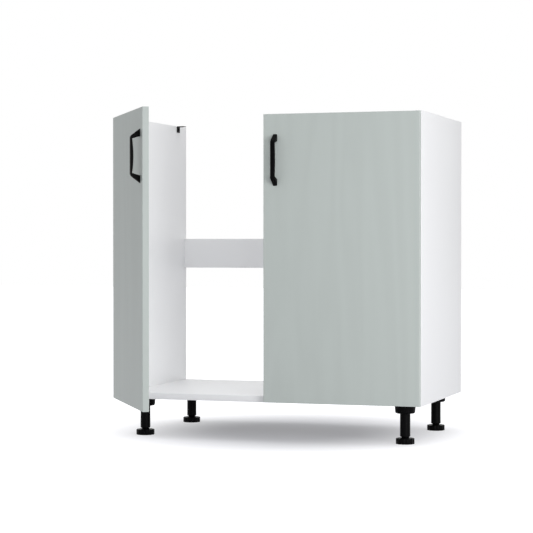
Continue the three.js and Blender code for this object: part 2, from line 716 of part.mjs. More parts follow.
// The cross-shaped mounting plate on the side panel, with the ridge that the arm clips on.
function mountingPlate(name, side, z) {
  const face = side * INNER_HALF;
  const across = (rise) => face - side * rise;
  const slab = (low, high, start, end, halfHeight) => {
    const x = [across(low), across(high)].sort((a, b) => a - b);
    return box([x[0], start, -halfHeight], [x[1], end, halfHeight]);
  };
  const wings = onPanel(
    strip([[-PLATE_WING, PLATE_SCREW_LINE], [PLATE_WING, PLATE_SCREW_LINE]], PLATE_WING_RADIUS, 6),
    side,
    0,
    PLATE_SHEET,
  );
  const ridgeRise = ARM_TAIL_RISE + ARM_HALF_SECTION - ARM_SHEET - CLEARANCE;
  const ridgeHalf = OUTER_LUG[0] - CLEARANCE;
  const body = join([
    slab(0, PLATE_SHEET, PLATE_START, PLATE_END, PLATE_HALF_WIDTH),
    wings,
    slab(PLATE_SHEET / 2, ridgeRise, RIDGE_START, RIDGE_END, ridgeHalf),
  ]);
  return piece(name, body, hingeSteel, [0, 0, z]);
}

// ---------------------------------------------------------------- hung doors

// A group that turns about a vertical line through a plan point.
function turning([x, y], degrees, contents) {
  const pivot = new THREE.Group();
  const shift = new THREE.Group();
  pivot.position.set(x, y, 0);
  pivot.rotation.z = THREE.MathUtils.degToRad(degrees);
  shift.position.set(-x, -y, 0);
  shift.add(...contents);
  pivot.add(shift);
  return pivot;
}

// One door with its hinges, opened by an angle: the main links turn about the arms' pins,
// the door turns about the main links' far ends, and the loose links about their own pins.
function hungDoor(sideName, opened) {
  const side = SIDES[sideName];
  const plan = hingePlan(side);
  const levels = Object.entries(HINGE_HEIGHTS);
  const each = (make, kind) =>
    levels.map(([level, z]) => make(`${sideName}_${level}_${kind}`, side, z));
  const door = turning(plan.mainCup, side * opened * (1 - MAIN_LINK_RATIO), [
    doorPanel(`${sideName}_door`, side),
    doorHandle(`${sideName}_handle`, side),
    ...Object.entries(HANDLE_SCREW_HEIGHTS).map(([level, z]) =>
      handleScrew(`${sideName}_handle_${level}_screw`, side, z),
    ),
    ...each(hingeCup, "hinge_cup"),
  ]);
  const mainLinks = turning(plan.mainArm, side * opened * MAIN_LINK_RATIO, [
    ...each(mainLink, "hinge_main_link"),
    door,
  ]);
  const looseLinks = turning(
    plan.looseArm,
    side * opened * LOOSE_LINK_RATIO,
    each(looseLink, "hinge_loose_link"),
  );
  const fixed = [...each(hingeArm, "hinge_arm"), ...each(mountingPlate, "hinge_plate")];
  return [mainLinks, looseLinks, ...fixed];
}

// ---------------------------------------------------------------- the whole cabinet

const legPlaces = { front: LEG_FRONT_INSET, back: CARCASS_DEPTH - LEG_BACK_INSET };
const bracketPlaces = {
  front: BRACKET_INSET + BRACKET_LEG / 2,
  back: CARCASS_DEPTH - BRACKET_INSET - BRACKET_LEG / 2,
};

function cabinetOn(sideName) {
  const side = SIDES[sideName];
  return [
    sidePanel(sideName),
    ...Object.entries(dowelPlaces).map(([name, place]) =>
      dowel(side, place, `${sideName}_${name}`),
    ),
    ...Object.entries(bracketPlaces).map(([end, y]) =>
      worktopBracket(`${sideName}_${end}_worktop_bracket`, side, y),
    ),
    ...Object.entries(legPlaces).map(([end, y]) =>
      leg(`${sideName}_${end}`, side * (HALF_WIDTH - LEG_SIDE_INSET), y),
    ),
  ];
}

const cabinet = new THREE.Group();
cabinet.add(bottomPanel(), backRail());
cabinet.add(...cabinetOn("left"), ...cabinetOn("right"));
cabinet.add(...hungDoor("left", LEFT_DOOR_OPEN), ...hungDoor("right", 0));

// The origin is on the floor, in the middle of the depth that the cabinet takes as shown.
const bounds = new THREE.Box3().setFromObject(cabinet);
cabinet.position.y = -(bounds.min.y + bounds.max.y) / 2;

const sinkBaseCabinet = new THREE.Group();
sinkBaseCabinet.name = "sink_base_cabinet";
sinkBaseCabinet.add(cabinet);

export default sinkBaseCabinet;
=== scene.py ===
"""A sink base cabinet: white boards, grey-green doors on cup hinges, black fittings.

Everything is in metres: +Z up, the doors face -Y, and the floor is at Z = 0.
"""

import json
import math

import bmesh
import bpy
import numpy as np
from mathutils import Matrix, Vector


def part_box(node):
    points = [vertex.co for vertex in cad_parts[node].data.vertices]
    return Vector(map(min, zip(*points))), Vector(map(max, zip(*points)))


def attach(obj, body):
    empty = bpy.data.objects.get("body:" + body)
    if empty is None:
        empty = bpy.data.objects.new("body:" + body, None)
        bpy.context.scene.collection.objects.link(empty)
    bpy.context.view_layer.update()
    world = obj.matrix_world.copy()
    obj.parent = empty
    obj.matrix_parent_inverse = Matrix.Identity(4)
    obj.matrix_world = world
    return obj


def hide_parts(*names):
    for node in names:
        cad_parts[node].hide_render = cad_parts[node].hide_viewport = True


bl_info = {
    "name": "Sink base cabinet",
    "version": (1, 0, 0),
    "blender": (4, 5, 0),
    "location": "3D View > Sidebar > Cabinet",
    "description": "Dresses a sink base cabinet with boards, fittings and finishes",
    "category": "Add Mesh",
}

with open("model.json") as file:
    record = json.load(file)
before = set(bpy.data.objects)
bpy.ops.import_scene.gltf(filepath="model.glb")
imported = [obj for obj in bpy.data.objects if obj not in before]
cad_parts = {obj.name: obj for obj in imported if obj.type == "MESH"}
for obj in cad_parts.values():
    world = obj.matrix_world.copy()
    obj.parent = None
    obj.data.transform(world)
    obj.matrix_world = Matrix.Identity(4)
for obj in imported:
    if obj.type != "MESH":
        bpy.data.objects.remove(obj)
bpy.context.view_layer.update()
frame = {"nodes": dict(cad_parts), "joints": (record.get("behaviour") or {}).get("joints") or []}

MM = 0.001
SEAM = 1e-6  # points closer than this are one
SLIVER = 1e-7  # edges shorter than this go
CREASE = math.radians(35)
SIDES = {"left": -1, "right": 1}
ENDS = ("front", "back")
LEVELS = ("lower", "upper")


# ------------------------------------------------------------ places on the cabinet


def low(node):
    """A CAD node's lowest corner."""
    return np.array(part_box(node)[0])


def high(node):
    """A CAD node's highest corner."""
    return np.array(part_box(node)[1])


def middle(node):
    """The middle of a CAD node's box."""
    return (low(node) + high(node)) / 2


FRONT_PLANE = low("left_side_panel")[1]  # the carcass's front edges
DOOR_BACK = high("right_door")[1]  # the back of a closed door
INNER_FACE = {"left": high("left_side_panel")[0], "right": low("right_side_panel")[0]}


def joint(name):
    """A joint of the frame, by its name."""
    return next(j for j in frame["joints"] if j["name"] == name)


def resting(side, points):
    """Points of a closed door, moved to where that door rests.

    The right door rests closed. The left one is the right one's mirror image, turned
    clockwise by its open angle about the vertical line through its hinge pins.
    """
    points = np.array(points, float)
    if side == "right":
        return points
    closed_pin = np.array(joint("right_door_turn")["pos_m"]) * (-1, 1, 1)
    resting_pin = np.array(joint("left_door_turn")["pos_m"])
    turn = -bpy.context.scene.cabinet_sizes.left_door_open
    cosine, sine = math.cos(turn), math.sin(turn)
    spin = np.array([[cosine, -sine, 0], [sine, cosine, 0], [0, 0, 1]])
    return (points * (-1, 1, 1) - closed_pin) @ spin.T + resting_pin


# ------------------------------------------------------------ meshes from grids


def skin(points, caps=True):
    """A grid of points as (vertices, faces), its last column joined to its first.

    Neighbouring points make quads, and caps close the first and the last row.
    """
    rows, columns = points.shape[:2]
    row = np.arange(rows - 1)[:, None]
    column = np.arange(columns)[None, :]
    following = (column + 1) % columns
    corners = (
        row * columns + column,
        row * columns + following,
        (row + 1) * columns + following,
        (row + 1) * columns + column,
    )
    quads = np.stack(corners, -1).reshape(-1, 4)
    faces = [tuple(quad) for quad in quads.tolist()]
    if caps:
        faces.append(tuple(range(columns))[::-1])
        faces.append(tuple(range((rows - 1) * columns, rows * columns)))
    return points.reshape(-1, 3), faces


def circle(segments):
    """Angles all the way round, in equal steps."""
    return np.linspace(0, 2 * np.pi, segments, endpoint=False)


def together(parts):
    """Several (vertices, faces) parts as one."""
    vertices, faces, start = [], [], 0
    for part_vertices, part_faces in parts:
        vertices.append(part_vertices)
        faces += [tuple(start + i for i in face) for face in part_faces]
        start += len(part_vertices)
    return np.concatenate(vertices), faces


def piece(name, part, finish, body, stands_for=()):
    """Makes an object of (vertices, faces).

    Its seams are merged and its faces point outwards. Edges sharper than CREASE stay
    sharp, and all the others are shaded smooth.
    """
    vertices, faces = part
    mesh = bpy.data.meshes.new(name)
    mesh.from_pydata(vertices.tolist(), [], faces)
    joined = bmesh.new()
    joined.from_mesh(mesh)
    bmesh.ops.remove_doubles(joined, verts=joined.verts, dist=SEAM)
    bmesh.ops.dissolve_degenerate(joined, edges=joined.edges, dist=SLIVER)
    bmesh.ops.recalc_face_normals(joined, faces=joined.faces)
    joined.to_mesh(mesh)
    joined.free()
    mesh.shade_smooth()
    mesh.set_sharp_from_angle(angle=CREASE)
    mesh.materials.append(finish)
    made = bpy.data.objects.new(name, mesh)
    bpy.context.scene.collection.objects.link(made)
    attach(made, body)
    if stands_for:
        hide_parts(*stands_for)


def turned(profile):
    """A profile of (radius, height) rows turned about the Z axis: a grid of points."""
    profile = np.array(profile, float)
    phase = circle(64)
    radius, height = profile[:, :1], profile[:, 1:]
    return np.stack(
        [radius * np.cos(phase), radius * np.sin(phase), height + 0 * phase], -1
    )


def rounded(corners, radius):
    """An open polyline whose inner corners become arcs of a quadratic curve.

    Each corner is left radius before it and joined radius after it, by
    (1-t)^2 a + 2t(1-t) corner + t^2 b.
    """
    corners = np.array(corners, float)
    t = np.linspace(0, 1, 7)[:, None]
    rows = [corners[:1]]
    for before, at, after in zip(corners, corners[1:], corners[2:]):
        a = at + (before - at) / np.linalg.norm(before - at) * radius
        b = at + (after - at) / np.linalg.norm(after - at) * radius
        rows.append((1 - t) ** 2 * a + 2 * t * (1 - t) * at + t**2 * b)
    rows.append(corners[-1:])
    return np.concatenate(rows)


def eased_board(lowest, highest, easing):
    """A board whose edges are rounded by easing.

    Along the longest side it is a stack of rounded rectangles. Near both ends each
    rectangle is drawn in by r - sqrt(r^2 - t^2), the height of a quarter circle.
    """
    size = highest - lowest
    longest = int(np.argmax(size))
    across = [axis for axis in range(3) if axis != longest]
    quarter = np.linspace(0, np.pi / 2, 4)
    inset = easing * (1 - np.sin(quarter))
    rise = easing * (1 - np.cos(quarter))
    stations = np.concatenate([rise, size[longest] - rise[::-1]])
    insets = np.concatenate([inset, inset[::-1]])
    phase = np.concatenate([quarter + k * np.pi / 2 for k in range(4)])
    signs = np.repeat([[1, 1], [-1, 1], [-1, -1], [1, -1]], len(quarter), axis=0)
    half = size[across] / 2
    centres = (half - easing) * signs
    reach = easing - insets[:, None, None]
    ring = centres + reach * np.stack([np.cos(phase), np.sin(phase)], -1)
    points = np.zeros((len(stations), len(phase), 3))
    points[..., across] = ring + half
    points[..., longest] = stations[:, None]
    return skin(points + lowest)


# ------------------------------------------------------------ shader maths


class Wire:
    """A value inside a material, which Python's operators can work with."""

    def __init__(self, shader, socket):
        self.shader, self.socket = shader, socket

    def __add__(self, other):
        return self.shader.maths("ADD", self, other)

    def __radd__(self, other):
        return self.shader.maths("ADD", other, self)

    def __sub__(self, other):
        return self.shader.maths("SUBTRACT", self, other)

    def __rsub__(self, other):
        return self.shader.maths("SUBTRACT", other, self)

    def __mul__(self, other):
        return self.shader.maths("MULTIPLY", self, other)

    def __rmul__(self, other):
        return self.shader.maths("MULTIPLY", other, self)

    def sine(self):
        """The sine of an angle in radians."""
        return self.shader.maths("SINE", self)

    def greater(self, other):
        """The larger of two values."""
        return self.shader.maths("MAXIMUM", self, other)

    def between(self, start, end):
        """0 up to start, 1 from end on, and a smooth rise between them."""
        inputs = {"Value": self, "From Min": start, "From Max": end}
        settings = {"interpolation_type": "SMOOTHSTEP"}
        return self.shader.node("ShaderNodeMapRange", settings, inputs)[0]


class Shader:
    """A material or world whose nodes are added one by one."""

    def __init__(self, owner):
        owner.use_nodes = True
        self.tree = owner.node_tree
        self.tree.nodes.clear()

    def node(self, kind, settings=None, inputs=None):
        """Adds a node: settings first, then the values or links of its sockets.

        Returns its outputs, which also answer to their names.
        """
        made = self.tree.nodes.new(kind)
        for key, value in (settings or {}).items():
            setattr(made, key, value)
        for key, value in (inputs or {}).items():
            self.feed(made.inputs[key], value)
        return Outputs(self, made)

    def feed(self, socket, value):
        """Links a wire to a socket, or sets a plain value on it."""
        if isinstance(value, Wire):
            self.tree.links.new(value.socket, socket)
        else:
            socket.default_value = value

    def output(self, kind, surface):
        """Ends the material or world with its surface."""
        self.node(kind, None, {"Surface": surface})

    def mixed(self, share, first, second):
        """A colour between two others."""
        node = self.node("ShaderNodeMix", {"data_type": "RGBA"}, {0: share})
        colours = [socket for socket in node.made.inputs if socket.type == "RGBA"]
        for socket, value in zip(colours, (first, second)):
            self.feed(socket, value)
        mixture = [socket for socket in node.made.outputs if socket.type == "RGBA"]
        return Wire(self, mixture[0])

    def maths(self, operation, *operands):
        """A Math node's value."""
        settings = {"operation": operation}
        return self.node("ShaderNodeMath", settings, dict(enumerate(operands)))[0]

    def vector_maths(self, operation, *operands):
        """A Vector Math node's outputs."""
        settings = {"operation": operation}
        return self.node("ShaderNodeVectorMath", settings, dict(enumerate(operands)))

    def place(self, scale=(1, 1, 1), turn=0.0):
        """The object's own coordinates, turned about Z and then scaled."""
        here = self.node("ShaderNodeTexCoord")["Object"]
        inputs = {"Vector": here, "Rotation": (0, 0, turn)}
        turned_here = self.node("ShaderNodeMapping", None, inputs)["Vector"]
        return self.vector_maths("MULTIPLY", turned_here, scale)["Vector"]

    def part(self, vector, axis):
        """One of a vector's three numbers."""
        return self.node("ShaderNodeSeparateXYZ", None, {"Vector": vector})[axis]

    def noise(self, where, scale, detail=3.0, roughness=0.5, distortion=0.0):
        """Perlin noise, from 0 to 1; scale is in cycles a metre."""
        inputs = {
            "Vector": where,
            "Scale": scale,
            "Detail": detail,
            "Roughness": roughness,
            "Distortion": distortion,
        }
        return self.node("ShaderNodeTexNoise", None, inputs)[0]

    def bump(self, height, strength, distance):
        """A normal tilted by the slope of a height, from 0 to 1 of a distance."""
        inputs = {"Height": height, "Strength": strength, "Distance": distance}
        return self.node("ShaderNodeBump", None, inputs)["Normal"]


class Outputs:
    """A node's output sockets, by number or by name."""

    def __init__(self, shader, made):
        self.shader, self.made = shader, made

    def __getitem__(self, key):
        return Wire(self.shader, self.made.outputs[key])


def colour(value):
    """A colour property with its alpha."""
    return (*value, 1.0)


def shade(value, factor):
    """A colour made darker or lighter by a factor."""
    return (*(channel * factor for channel in value), 1.0)


def surface_material(name, varying, fixed):
    """A Principled material. varying(shader) gives what changes over the surface."""
    finish = bpy.data.materials.new(name)
    shader = Shader(finish)
    inputs = {**fixed, **varying(shader)}
    principled = shader.node("ShaderNodeBsdfPrincipled", None, inputs)
    shader.output("ShaderNodeOutputMaterial", principled["BSDF"])
    return finish


# ------------------------------------------------------------ materials


def melamine(finishes):
    """White melamine: a faint cloudiness, and the pressed texture of the film."""

    def varying(shader):
        here = shader.place()
        cloud = shader.noise(here, scale=7.0, detail=4.0)
        pressed = shader.noise(here, scale=900.0, detail=2.0)
        upright = shader.place((1, 1, 0.12))
        pores = shader.noise(upright, scale=1400.0, detail=1.0)
        height = pressed + 0.4 * pores
        tone = shader.mixed(cloud, shade(finishes.board, 0.985), colour(finishes.board))
        return {
            "Base Color": tone,
            "Roughness": 0.34 + 0.1 * pressed + 0.05 * cloud,
            "Normal": shader.bump(height, strength=0.35, distance=0.1 * MM),
        }

    return surface_material("board_melamine", varying, {"Specular IOR Level": 0.4})


def door_film(finishes, name, turn, back):
    """The doors' film: a printed wood figure, very faint, under fine upright pores.

    The figure is a set of bands across the door, bent by slow noise so that they run
    together into long arches. The film wraps the edges, and the back is plain white.
    turn is how far the door stands open, and back is how far its back lies along the
    direction that it faces.
    """

    def varying(shader):
        arches = shader.place((1, 1, 0.1), turn)
        slow = shader.noise(arches, scale=3.6, detail=3.0, distortion=0.5)
        bands = (slow * 64.0).sine() * 0.5 + 0.5
        lines = shader.place((1, 1, 0.02), turn)
        streaks = shader.noise(lines, scale=240.0, detail=3.0, roughness=0.65)
        upright = shader.place((1, 1, 0.05), turn)
        pores = shader.noise(upright, scale=900.0, detail=2.0, roughness=0.6)
        figure = 0.45 * bands + 0.55 * streaks
        dark, light = shade(finishes.door, 0.965), shade(finishes.door, 1.02)
        depth = shader.part(shader.place((1, 1, 1), turn), "Y")
        on_back = depth.between(back - 0.5 * MM, back - 0.1 * MM)
        film = shader.mixed(figure, dark, light)
        height = (pores * 0.7 + streaks * 0.5) * (1 - on_back)
        return {
            "Base Color": shader.mixed(on_back, film, colour(finishes.board)),
            "Roughness": 0.36 + 0.1 * pores + 0.05 * streaks,
            "Normal": shader.bump(height, strength=0.4, distance=0.12 * MM),
        }

    return surface_material(name, varying, {"Specular IOR Level": 0.2})


def powder_coat(finishes):
    """Black powder coat: a fine pebbled skin with slightly duller patches."""

    def varying(shader):
        here = shader.place()
        pebbles = shader.noise(here, scale=2600.0, detail=2.0, roughness=0.6)
        patches = shader.noise(here, scale=60.0, detail=3.0)
        tone = shader.mixed(patches, colour(finishes.coat), shade(finishes.coat, 1.35))
        return {
            "Base Color": tone,
            "Roughness": 0.38 + 0.12 * patches + 0.08 * pebbles,
            "Normal": shader.bump(pebbles, strength=0.3, distance=0.06 * MM),
        }

    return surface_material("handle_coat", varying, {"Specular IOR Level": 0.045})


def moulded_plastic(finishes):
    """Black moulded plastic: a satin spark-eroded texture with faint flow marks."""

    def varying(shader):
        grit = shader.noise(shader.place(), scale=1900.0, detail=3.0, roughness=0.7)
        long = shader.place((1, 1, 0.3))
        flow = shader.noise(long, scale=45.0, detail=4.0, roughness=0.6, distortion=0.8)
        dark, light = colour(finishes.plastic), shade(finishes.plastic, 1.5)
        return {
            "Base Color": shader.mixed(flow, dark, light),
            "Roughness": 0.27 + 0.12 * flow + 0.06 * grit,
            "Normal": shader.bump(grit, strength=0.25, distance=0.05 * MM),
        }

    return surface_material("leg_plastic", varying, {"Specular IOR Level": 0.045})


def nickel(finishes):
    """Nickel-plated sheet: lines brushed along X, under cloudy roughness."""

    def varying(shader):
        brushed = shader.place((0.06, 1, 1))
        lines = shader.noise(brushed, scale=1300.0, detail=2.0, roughness=0.6)
        cloud = shader.noise(shader.place(), scale=120.0, detail=3.0)
        dark, light = shade(finishes.steel, 0.9), shade(finishes.steel, 1.03)
        return {
            "Base Color": shader.mixed(cloud, dark, light),
            "Roughness": 0.2 + 0.12 * lines + 0.1 * cloud,
            "Normal": shader.bump(lines, strength=0.1, distance=0.03 * MM),
        }

    return surface_material("nickel_plate", varying, {"Metallic": 0.9})


def beech(finishes):
    """Beech: short dark flecks along the dowel."""

    def varying(shader):
        along = shader.place((0.15, 1, 1))
        flecks = shader.noise(along, scale=1500.0, detail=3.0, roughness=0.6)
        light, dark = colour(finishes.beech), shade(finishes.beech, 0.72)
        return {
            "Base Color": shader.mixed(flecks.between(0.35, 0.7), light, dark),
            "Roughness": 0.6 + 0.15 * flecks,
            "Normal": shader.bump(flecks, strength=0.2, distance=0.1 * MM),
        }

    return surface_material("beech_wood", varying, {})


MAKERS = {
    "board_melamine": melamine,
    "handle_coat": powder_coat,
    "leg_plastic": moulded_plastic,
    "nickel_plate": nickel,
    "beech_wood": beech,
}


def material(name):
    """A material that pieces share, made the first time that it is asked for."""
    found = bpy.data.materials.get(name)
    return found or MAKERS[name](bpy.context.scene.cabinet_finishes)


def finish_node(node, finish):
    """Gives a CAD node a material in every one of its slots."""
    shown = frame["nodes"][node]
    if not shown.material_slots:
        shown.data.materials.append(finish)
    for held in shown.material_slots:
        held.material = finish


# ------------------------------------------------------------ settings

FOCAL_SHARE = 1782.91 / 533  # the fitted focal length over the picture's width


def length(name, description, default):
    """A length property, in metres."""
    return bpy.props.FloatProperty(
        name=name, description=description, default=default, unit="LENGTH", precision=4
    )


def power(name, description, default):
    """A lamp's power, in watts."""
    return bpy.props.FloatProperty(
        name=name, description=description, default=default, unit="POWER"
    )


def angle(name, description, degrees):
    """An angle property, kept in radians."""
    default = math.radians(degrees)
    return bpy.props.FloatProperty(
        name=name, description=description, default=default, subtype="ANGLE"
    )


def number(name, description, default):
    """A plain number."""
    return bpy.props.FloatProperty(name=name, description=description, default=default)


def tint(name, description, default):
    """A colour property."""
    return bpy.props.FloatVectorProperty(
        name=name, description=description, default=default, subtype="COLOR", size=3
    )


class CabinetSizes(bpy.types.PropertyGroup):
    """Sizes that the frame doesn't give."""

    left_door_open: angle("Left door", "How far the left door stands open", 57)
    easing: length("Board easing", "Rounding of the boards' edges", 0.7 * MM)
    handle_grip: length("Grip", "Length of the handle's straight outer face", 93 * MM)
    handle_window: length("Window", "Clear length under the handle's bar", 81 * MM)
    handle_foot: length("Handle foot", "Length of a handle's foot on the door", 18 * MM)
    bar_end: length("Bar end", "Thickness of the handle's bar at its ends", 4.6 * MM)
    bar_middle: length("Bar middle", "Thickness of the handle's bar half way", 7.6 * MM)
    tube_radius: length("Tube radius", "Outer radius of a leg's tube", 12.75 * MM)
    tube_wall: length("Tube wall", "Wall of a leg's tube", 2.5 * MM)
    socket_wall: length("Socket wall", "Wall of a leg's socket", 2.5 * MM)
    foot_height: length("Foot height", "Height of the scalloped foot", 14 * MM)
    foot_lobe: length("Lobe depth", "Depth of the hollows in the foot's rim", 1.3 * MM)
    thread_pitch: length("Thread pitch", "Pitch of the foot's thread", 2.5 * MM)
    thread_depth: length("Thread depth", "Depth of the foot's thread", 0.9 * MM)
    screw_head: length("Screw head", "Radius of the small screws' heads", 3.6 * MM)
    screw_shank: length("Screw shank", "Radius of the small screws' shanks", 1.9 * MM)
    bracket_sheet: length("Bracket sheet", "Thickness of a bracket's sheet", 1.6 * MM)


class CabinetFinishes(bpy.types.PropertyGroup):
    """Colours of the cabinet's materials."""

    board: tint("Board", "White melamine", (0.9, 0.905, 0.914))
    door: tint("Door", "Grey-green film", (0.512, 0.557, 0.535))
    coat: tint("Handle coat", "Black powder coat", (0.0013, 0.0013, 0.0015))
    plastic: tint("Plastic", "Black plastic of the legs", (0.001, 0.001, 0.0012))
    steel: tint("Steel", "Nickel-plated steel", (0.5, 0.5, 0.49))
    beech: tint("Beech", "Wood of the dowels", (0.58, 0.38, 0.2))


class CabinetStage(bpy.types.PropertyGroup):
    """Floor, light and camera."""

    sky: number("Sky", "Strength of the soft light all round", 0.605)
    key_power: power("Key light", "Power of the low lamp on the right", 18.5)
    front_power: power("Front light", "Power of the lamp in front, on the right", 20.0)
    top_power: power("Top light", "Power of the wide lamp overhead", 12.6)
    floor: tint("Floor", "Pale floor", (0.447, 0.45, 0.48))
    floor_lift: number("Floor lift", "Extra white of the floor in the shadow", 0.246)
    camera_yaw: angle("Yaw", "Camera's turn to the left", 18.225)
    camera_pitch: angle("Pitch", "Camera's tilt upwards", -0.782)
    camera_roll: angle("Roll", "Camera's roll", 0.011)
    camera_x: length("Camera X", "Camera's place to the right", 1.39377)
    camera_y: length("Camera Y", "Camera's place behind the front edges", -4.21939)
    camera_z: length("Camera Z", "Camera's height", 0.49737)
    focal: number("Focal length", "In widths of the picture", FOCAL_SHARE)


# ------------------------------------------------------------ boards


BOARDS = ("left_side_panel", "right_side_panel", "bottom_panel", "back_rail")


class CABINET_OT_boards(bpy.types.Operator):
    """White boards with rounded edges: both sides, the bottom and the rear rail"""

    bl_idname = "cabinet.boards"
    bl_label = "Boards"

    def execute(self, context):
        easing = context.scene.cabinet_sizes.easing
        white = material("board_melamine")
        for node in BOARDS:
            board = eased_board(low(node), high(node), easing)
            piece(f"{node}_board", board, white, "carcass", [node])
        for node in frame["nodes"]:
            if "dowel" in node:
                finish_node(node, material("beech_wood"))
        return {"FINISHED"}


class CABINET_OT_doors(bpy.types.Operator):
    """Grey-green film with an upright grain on both doors"""

    bl_idname = "cabinet.doors"
    bl_label = "Doors"

    def execute(self, context):
        finishes = context.scene.cabinet_finishes
        turns = {"left": context.scene.cabinet_sizes.left_door_open, "right": 0.0}
        for side, turn in turns.items():
            back = resting(side, [(0, DOOR_BACK, 0)])[0]
            depth = math.sin(turn) * back[0] + math.cos(turn) * back[1]
            film = door_film(finishes, f"{side}_door_film", turn, depth)
            finish_node(f"{side}_door", film)
        return {"FINISHED"}


# ------------------------------------------------------------ handles and screws


def handle_points(sizes, span, reach, width):
    """A bridge handle along Z, standing out towards -Y, as a grid of rings.

    Each ring lies between a point of the outer line and the matching point of the inner
    line. With c their middle and h half their difference, it is
    c + h |cos a|^e sgn(cos a) + w |sin a|^e sgn(sin a): a rectangle with soft corners.
    """
    corner, squareness = 5 * MM, 0.32
    t = np.linspace(-1, 1, 41)[:, None]
    end, grip, window = span / 2, sizes.handle_grip / 2, sizes.handle_window / 2
    inner_end = end - sizes.handle_foot
    outer = rounded([(-end, 0), (-grip, reach), (grip, reach), (end, 0)], corner)
    bar = reach - sizes.bar_end - (sizes.bar_middle - sizes.bar_end) * (1 - t**2)
    swell = np.concatenate([window * t, bar], 1)
    inner = np.concatenate([[(-inner_end, 0)], swell, [(inner_end, 0)]])

    def spaced(line, leg):
        """Points spread evenly along each of a line's legs and along its bar."""
        steps = np.linalg.norm(np.diff(line, axis=0), axis=1)
        travel = np.concatenate([[0], np.cumsum(steps)])
        whole = travel[-1]
        rising = np.linspace(0, leg, 9)[:-1]
        level = np.linspace(leg, whole - leg, len(t))
        marks = np.concatenate([rising, level, whole - rising[::-1]])
        return np.stack([np.interp(marks, travel, line[:, k]) for k in (0, 1)], -1)

    outer = spaced(outer, math.hypot(end - grip, reach))
    inner = spaced(inner, math.hypot(inner_end - window, reach - sizes.bar_end))
    centre, half = (outer + inner) / 2, (outer - inner) / 2
    phase = circle(32)
    along = np.sign(np.cos(phase)) * np.abs(np.cos(phase)) ** squareness
    aside = np.sign(np.sin(phase)) * np.abs(np.sin(phase)) ** squareness
    ring = centre[:, None, :] + half[:, None, :] * along[None, :, None]
    x = np.broadcast_to(width / 2 * aside, ring.shape[:2])
    return np.stack([x, -ring[..., 1], ring[..., 0]], -1)


def screw_points(head, height, shank, reach):
    """A pan-head screw along +Z with a cross recess, as rings from its tip to its top.

    With r the distance from the axis and R the head's radius, the head's top is a dome
    of height h (1 + sqrt(1 - 0.98 (r/R)^2)) / 2. The recess sinks where a point lies
    within a slot's half width of one axis and within its reach of the other, and both
    limits are softened, so that the walls slope.
    """
    phase, taper, recess = circle(48), shank * 0.6, height * 0.6
    half_width, slot_reach, slope = head * 0.13, head * 0.58, head * 0.06
    side = [(0, -reach), (taper, -reach), (shank, -reach + taper)]
    side += [(shank, 0), (head, 0), (head, height * 0.45)]
    top = head * np.linspace(0.97, 0.0, 16)
    dome = height * (0.5 + 0.5 * np.sqrt(1 - (top / head) ** 2 * 0.98))
    radius = np.concatenate([[r for r, _ in side], top])
    level = np.concatenate([[z for _, z in side], dome])
    x = radius[:, None] * np.cos(phase)
    y = radius[:, None] * np.sin(phase)
    z = np.broadcast_to(level[:, None], x.shape).copy()

    def inside(value, limit):
        return np.clip((limit + slope - np.abs(value)) / (2 * slope), 0, 1)

    slots = np.maximum(
        inside(x, half_width) * inside(y, slot_reach),
        inside(y, half_width) * inside(x, slot_reach),
    )
    z[len(side) :] -= recess * slots[len(side) :]
    return np.stack([x, y, z], -1)


def small_screw(sizes, height, reach):
    """One of the small screws of the brackets, hinge plates and hinge cups."""
    return screw_points(sizes.screw_head, height, sizes.screw_shank, reach)


def facing(points, origin, outward, across):
    """Local points moved: Z then points outward, and X, a screw's slot, lies across."""
    outward = np.array(outward, float) / np.linalg.norm(outward)
    across = np.array(across, float) / np.linalg.norm(across)
    basis = np.stack([across, np.cross(outward, across), outward])
    return points @ basis + np.array(origin)


class CABINET_OT_handles(bpy.types.Operator):
    """Bridge handles, and the screws that hold them from the doors' backs"""

    bl_idname = "cabinet.handles"
    bl_label = "Handles"

    def execute(self, context):
        lowest, highest = low("right_handle"), high("right_handle")
        width, reach, span = highest - lowest
        local = handle_points(context.scene.cabinet_sizes, span, reach, width)
        seat = middle("right_handle")
        seat[1] = highest[1]
        coat = material("handle_coat")
        for side in SIDES:
            body, handle = f"{side}_door_body", f"{side}_handle"
            bar = skin(resting(side, local + seat))
            piece(f"{handle}_bar", bar, coat, body, [handle])
            for level in LEVELS:
                self.screw(side, level, body)
        return {"FINISHED"}

    def screw(self, side, level, body):
        """One of the screws that hold a handle, seated on the door's back."""
        node, closed = (f"{door}_handle_{level}_screw" for door in (side, "right"))
        lowest, highest, seat = low(closed), high(closed), middle(closed)
        seat[1] = DOOR_BACK
        head = (highest[0] - lowest[0]) / 2
        height, reach = highest[1] - DOOR_BACK, DOOR_BACK - lowest[1]
        local = screw_points(head, height, shank=head / 2, reach=reach)
        placed = facing(local, seat, (0, 1, 0), (1, 0, 1))
        made = skin(resting(side, placed), caps=False)
        steel = material("nickel_plate")
        piece(f"{node}_cross", made, steel, body, [node])


# ------------------------------------------------------------ legs


